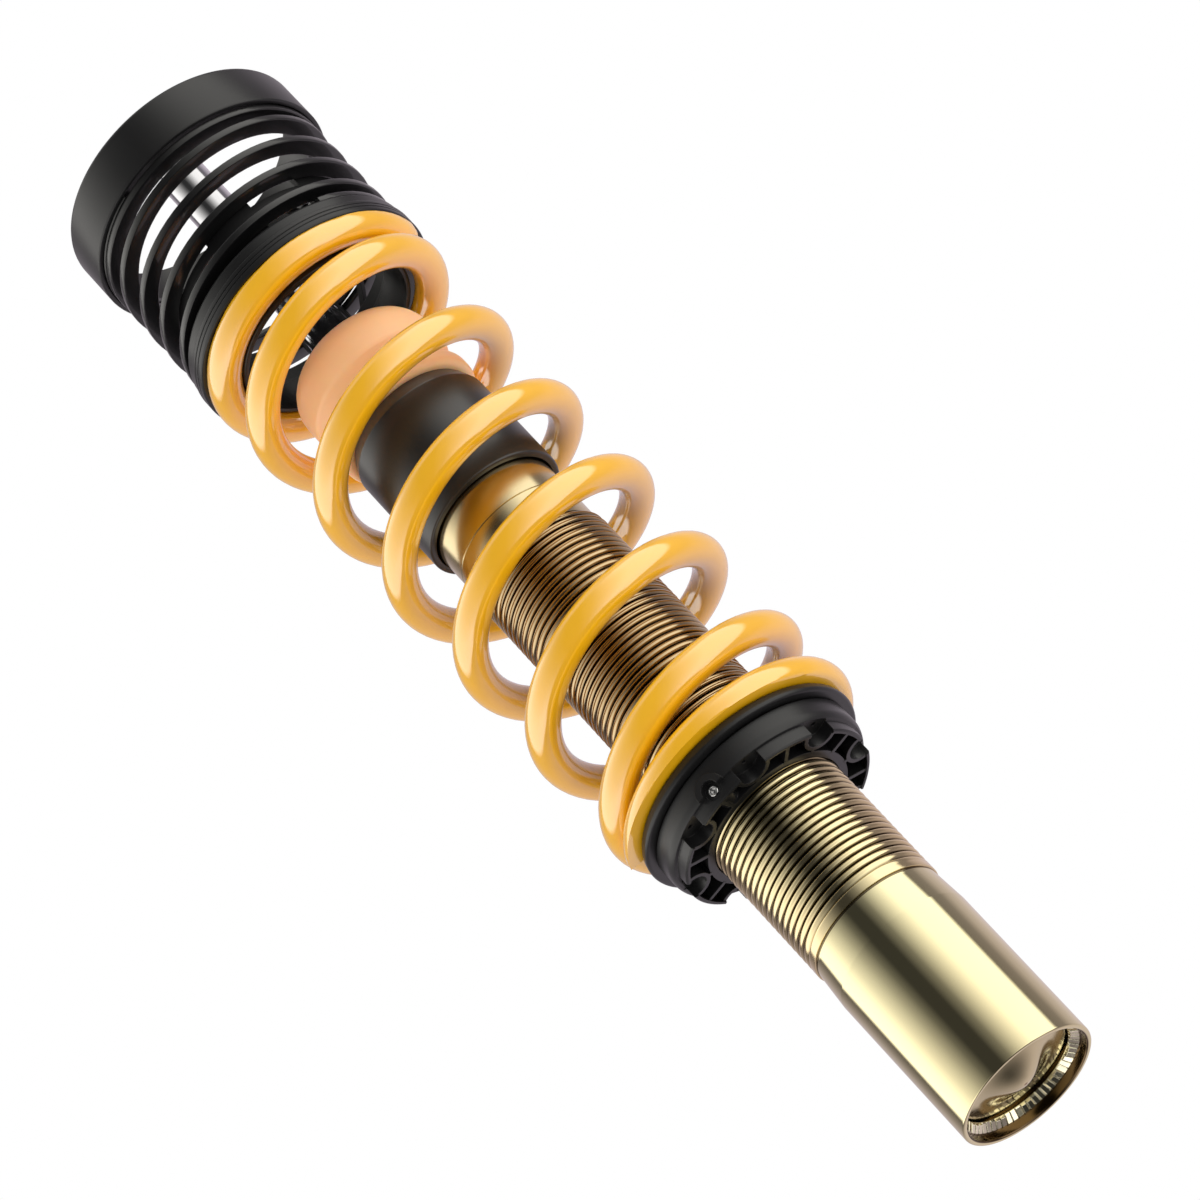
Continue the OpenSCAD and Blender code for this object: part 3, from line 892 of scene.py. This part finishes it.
class COILOVER_OT_springs(bpy.types.Operator):
    """Wind the main spring and the helper spring"""

    bl_idname = "coilover.springs"
    bl_label = "Springs"
    bl_options = {"REGISTER", "UNDO"}

    def execute(self, context):
        settings = context.scene.coilover_springs
        self.main_spring(settings)
        self.helper_spring(settings)
        return {"FINISHED"}

    def main_spring(self, settings):
        """Round wire with closed and ground ends."""
        floor, top = low("main_spring"), high("main_spring")
        size = settings.wire / 2
        mid = settings.across / 2 - size
        closed, sink = settings.wire - 0.4 * MM, 0.2 * MM
        a, b = 0.85, 1.15
        rise = top - floor + 2 * sink
        ends = climb(b, closed, settings.pitch, a, b)
        turns = 2 * b + (rise - 2 * ends) / settings.pitch

        def height(t):
            """Height of the wire's middle after t turns."""
            if t < turns / 2:
                return floor - sink + climb(t, closed, settings.pitch, a, b)
            return top + sink - climb(turns - t, closed, settings.pitch, a, b)

        section = [
            (size * math.cos(TURN * k / 32), size * math.sin(TURN * k / 32)) for k in range(32)
        ]
        piece = coil(
            "main_spring_coated", section, mid, math.radians(-169), turns, height, floor, top
        )
        stretch(piece, "perch", "divider", floor, top, 1.0)
        settle(piece, None, "spring_yellow", "main_spring")

    def helper_spring(self, settings):
        """Flat wire with closed and ground ends. It reaches from the divider to the upper seat,
        which moves further than the divider does."""
        floor, top = low("helper_spring"), high("helper_spring")
        w, h = settings.flat_width / 2, settings.flat_height / 2
        mid = settings.flat_across / 2 - w
        closed = settings.flat_height + 0.2 * MM
        lift = h - 0.55 * MM
        rise = top - floor - 2 * lift
        low_a, low_b, high_a, high_b = 0.4, 0.8, 0.9, 2.07
        low_end = climb(low_b, closed, settings.flat_pitch, low_a, low_b)
        high_end = climb(high_b, closed, settings.flat_pitch, high_a, high_b)
        turns = low_b + high_b + (rise - low_end - high_end) / settings.flat_pitch

        def height(t):
            """Height of the wire's middle after t turns."""
            if t < turns / 2:
                return floor + lift + climb(t, closed, settings.flat_pitch, low_a, low_b)
            return top - lift - climb(turns - t, closed, settings.flat_pitch, high_a, high_b)

        edge = 0.7 * MM
        section = rounded([(w, -h, edge), (w, h, edge), (-w, h, edge), (-w, -h, edge)], 4)
        piece = coil(
            "helper_spring_coated", section, mid, math.radians(-51), turns, height, floor, top
        )
        stretch(piece, "divider", "perch", floor, top, 1 - 1 / FOLLOW)
        settle(piece, None, "spring_black", "helper_spring")


class COILOVER_OT_bump_stop(bpy.types.Operator):
    """Build the dust cup and the foam bump stop"""

    bl_idname = "coilover.bump_stop"
    bl_label = "Cup and bump stop"
    bl_options = {"REGISTER", "UNDO"}

    def execute(self, context):
        lip, top = low("dust_cup"), high("dust_cup")
        out = radius("dust_cup")
        inner = out - 2.2 * MM
        mouth = out - 6.8 * MM
        hole = 10.5 * MM
        head = high("threaded_tube")
        web = head + 3.2 * MM
        cup = rounded(
            [
                (inner - 0.4 * MM, lip, 0.3 * MM),
                (out, lip, 0.9 * MM),
                (out, top - 6.2 * MM, 2.2 * MM),
                (out - 2.4 * MM, top, 0.9 * MM),
                (mouth, top, 0.5 * MM),
                (mouth, web, 0.3 * MM),
                (hole, web, 0.2 * MM),
                (hole, head, 0.0),
                (inner, head, 0.0),
                (inner, lip + 4 * MM, 0.0),
            ]
        )
        settle(lathe("cup_moulded", cup), "housing", "cup_black", "dust_cup")
        r, peak = radius("bump_stop"), high("bump_stop")
        bore = 9.6 * MM
        plug = mouth - 0.2 * MM
        waist = top + 12.5 * MM
        foam = rounded(
            [
                (bore, web, 0.0),
                (plug, web, 0.0),
                (plug, top, 0.3 * MM),
                (r, top, 3.2 * MM),
                (r, top + 7 * MM, 2.6 * MM),
                (r - 6.4 * MM, waist, 1.6 * MM),
                (r, waist + 7 * MM, 3.4 * MM),
                (r, peak, 12.6 * MM),
                (bore, peak, 1.0 * MM),
            ],
            8,
        )
        settle(lathe("bump_foam", foam, 160), "housing", "foam", "bump_stop")
        return {"FINISHED"}


def spigot_radius():
    """Radius of the rings' spigots, which fit inside the main spring."""
    return radius("main_spring") - 13.3 * MM


class COILOVER_OT_rings(bpy.types.Operator):
    """Build the slide ring, the divider's flange and the upper seat"""

    bl_idname = "coilover.rings"
    bl_label = "Rings"
    bl_options = {"REGISTER", "UNDO"}

    def execute(self, context):
        self.slide_ring()
        self.flange()
        self.upper_seat()
        return {"FINISHED"}

    def slide_ring(self):
        """The ring under the main spring, with a spigot inside its first coil."""
        foot, top = low("slide_ring"), high("slide_ring")
        seat = low("main_spring")
        r = radius("slide_ring")
        bore = radius("threaded_tube") + 0.3 * MM
        spigot = spigot_radius()
        outline = rounded(
            [
                (bore, foot, 0.4 * MM),
                (r, foot, 1.3 * MM),
                (r - 0.9 * MM, seat, 1.8 * MM),
                (spigot, seat, 0.3 * MM),
                (spigot, top, 0.8 * MM),
                (bore, top, 0.5 * MM),
            ]
        )
        settle(lathe("slide_ring_moulded", outline), "perch", "composite", "slide_ring")

    def flange(self):
        """The divider's lower ring: a skirt in the main spring, and a flange with two grooves."""
        foot, top = low("divider_flange"), high("divider_flange")
        seat = high("main_spring")
        r = radius("divider_flange")
        skirt = spigot_radius()
        bore = skirt - 2.3 * MM
        grooves = []
        for rise in (2.2 * MM, 3.9 * MM):
            for depth, up in ((0.0, 0.0), (0.35, 0.12), (0.35, 0.42), (0.0, 0.54)):
                grooves.append((r - depth * MM, seat + rise + up * MM, 0.0))
        outline = rounded(
            [
                (bore, foot, 0.3 * MM),
                (skirt, foot, 1.0 * MM),
                (skirt, seat, 0.2 * MM),
                (r, seat, 0.9 * MM),
                *grooves,
                (r, top, 0.5 * MM),
                (bore, top, 0.0),
            ]
        )
        piece = lathe("divider_flange_turned", outline, 256)
        settle(piece, "divider", "composite", "divider_flange")

    def upper_seat(self):
        """The open ring over the helper spring."""
        foot, top = low("upper_seat"), high("upper_seat")
        face = high("helper_spring")
        r = radius("upper_seat")
        wall = radius("helper_spring") + 0.1 * MM
        bore = radius("helper_spring") - 4.6 * MM
        outline = rounded(
            [
                (bore, face, 0.3 * MM),
                (wall, face, 0.2 * MM),
                (wall, foot, 0.3 * MM),
                (r, foot, 0.8 * MM),
                (r, top, 2.0 * MM),
                (bore, top, 0.6 * MM),
            ]
        )
        settle(lathe("seat_moulded", outline, 256), "seat", "composite", "upper_seat")


class COILOVER_OT_rod(bpy.types.Operator):
    """Build the ground rod, with its stud and the spigot for the piston"""

    bl_idname = "coilover.rod"
    bl_label = "Rod"
    bl_options = {"REGISTER", "UNDO"}

    def execute(self, context):
        foot, top = low("piston_rod"), high("piston_rod")
        r, tail, stud = radius("piston_rod"), 6 * MM, 7 * MM
        step = max(high("rebound_shims"), high("compression_shims"))
        shoulder = high("upper_seat") + 1.5 * MM
        outline = rounded(
            [
                (0.0, foot, 0.0),
                (tail, foot, 0.6 * MM),
                (tail, step, 0.0),
                (r, step, 0.8 * MM),
                (r, shoulder, 0.8 * MM),
                (stud, shoulder, 0.0),
                (stud, top, 1.2 * MM),
                (0.0, top, 0.0),
            ]
        )
        settle(lathe("rod_ground", outline, 96), "rod", "rod_chrome", "piston_rod")
        return {"FINISHED"}


class COILOVER_OT_screw(bpy.types.Operator):
    """Build the lock screw, with a socket in its outer end"""

    bl_idname = "coilover.screw"
    bl_label = "Lock screw"
    bl_options = {"REGISTER", "UNDO"}

    def execute(self, context):
        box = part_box("lock_screw")
        middle = (box[0] + box[1]) / 2
        out = Vector((middle.x, middle.y, 0)).normalized()
        r = (box[1].z - box[0].z) / 2
        # The screw lies at an angle in its box, so half its length is worked out from both sides
        reach = box[1] - middle
        half = reach.x * abs(out.x) + reach.y * abs(out.y) - 2 * r * abs(out.x * out.y)
        outline = rounded(
            [
                (0.0, -half, 0.0),
                (r, -half, 0.2 * MM),
                (r, half, 0.3 * MM),
                (0.68 * r, half, 0.1 * MM),
                (0.62 * r, half - 2.4 * MM, 0.0),
                (0.0, half - 2.8 * MM, 0.0),
            ]
        )
        piece = lathe("screw_set", outline, 48)
        turn = Vector((0, 0, 1)).rotation_difference(out).to_matrix().to_4x4()
        piece.data.transform(Matrix.Translation(middle) @ turn)
        settle(piece, "screw", "screw", "lock_screw")
        return {"FINISHED"}


CLASSES = [
    *SETTINGS.values(),
    COILOVER_OT_stage,
    COILOVER_OT_finishes,
    COILOVER_OT_housing,
    COILOVER_OT_springs,
    COILOVER_OT_bump_stop,
    COILOVER_OT_rings,
    COILOVER_OT_rod,
    COILOVER_OT_screw,
]


class COILOVER_PT_panel(bpy.types.Panel):
    """The strut's settings and steps"""

    bl_idname = "COILOVER_PT_panel"
    bl_label = "Coilover"
    bl_space_type = "VIEW_3D"
    bl_region_type = "UI"
    bl_category = "Coilover"

    def draw(self, context):
        for name in SETTINGS:
            box = self.layout.box()
            settings = getattr(context.scene, name)
            for prop in settings.bl_rna.properties.keys():
                if prop not in ("rna_type", "name"):
                    box.prop(settings, prop)
        for one in STEPS:
            self.layout.operator(one.bl_idname)


STEPS = [c for c in CLASSES if issubclass(c, bpy.types.Operator)]


def register():
    """Register the classes, and the settings on the scene."""
    for one in [*CLASSES, COILOVER_PT_panel]:
        bpy.utils.register_class(one)
    for name, group in SETTINGS.items():
        setattr(bpy.types.Scene, name, PointerProperty(type=group))


def unregister():
    """Take the settings and the classes away again."""
    for name in SETTINGS:
        delattr(bpy.types.Scene, name)
    for one in reversed([*CLASSES, COILOVER_PT_panel]):
        bpy.utils.unregister_class(one)


def corners(box):
    """The two corners of a box as lists of numbers."""
    return [list(map(float, corner)) for corner in box]


def main():
    """Run every step in turn."""
    register()
    for one in STEPS:
        family, name = one.bl_idname.split(".")
        getattr(getattr(bpy.ops, family), name)()
    bpy.context.view_layer.update()


if __name__ == "__main__":
    main()
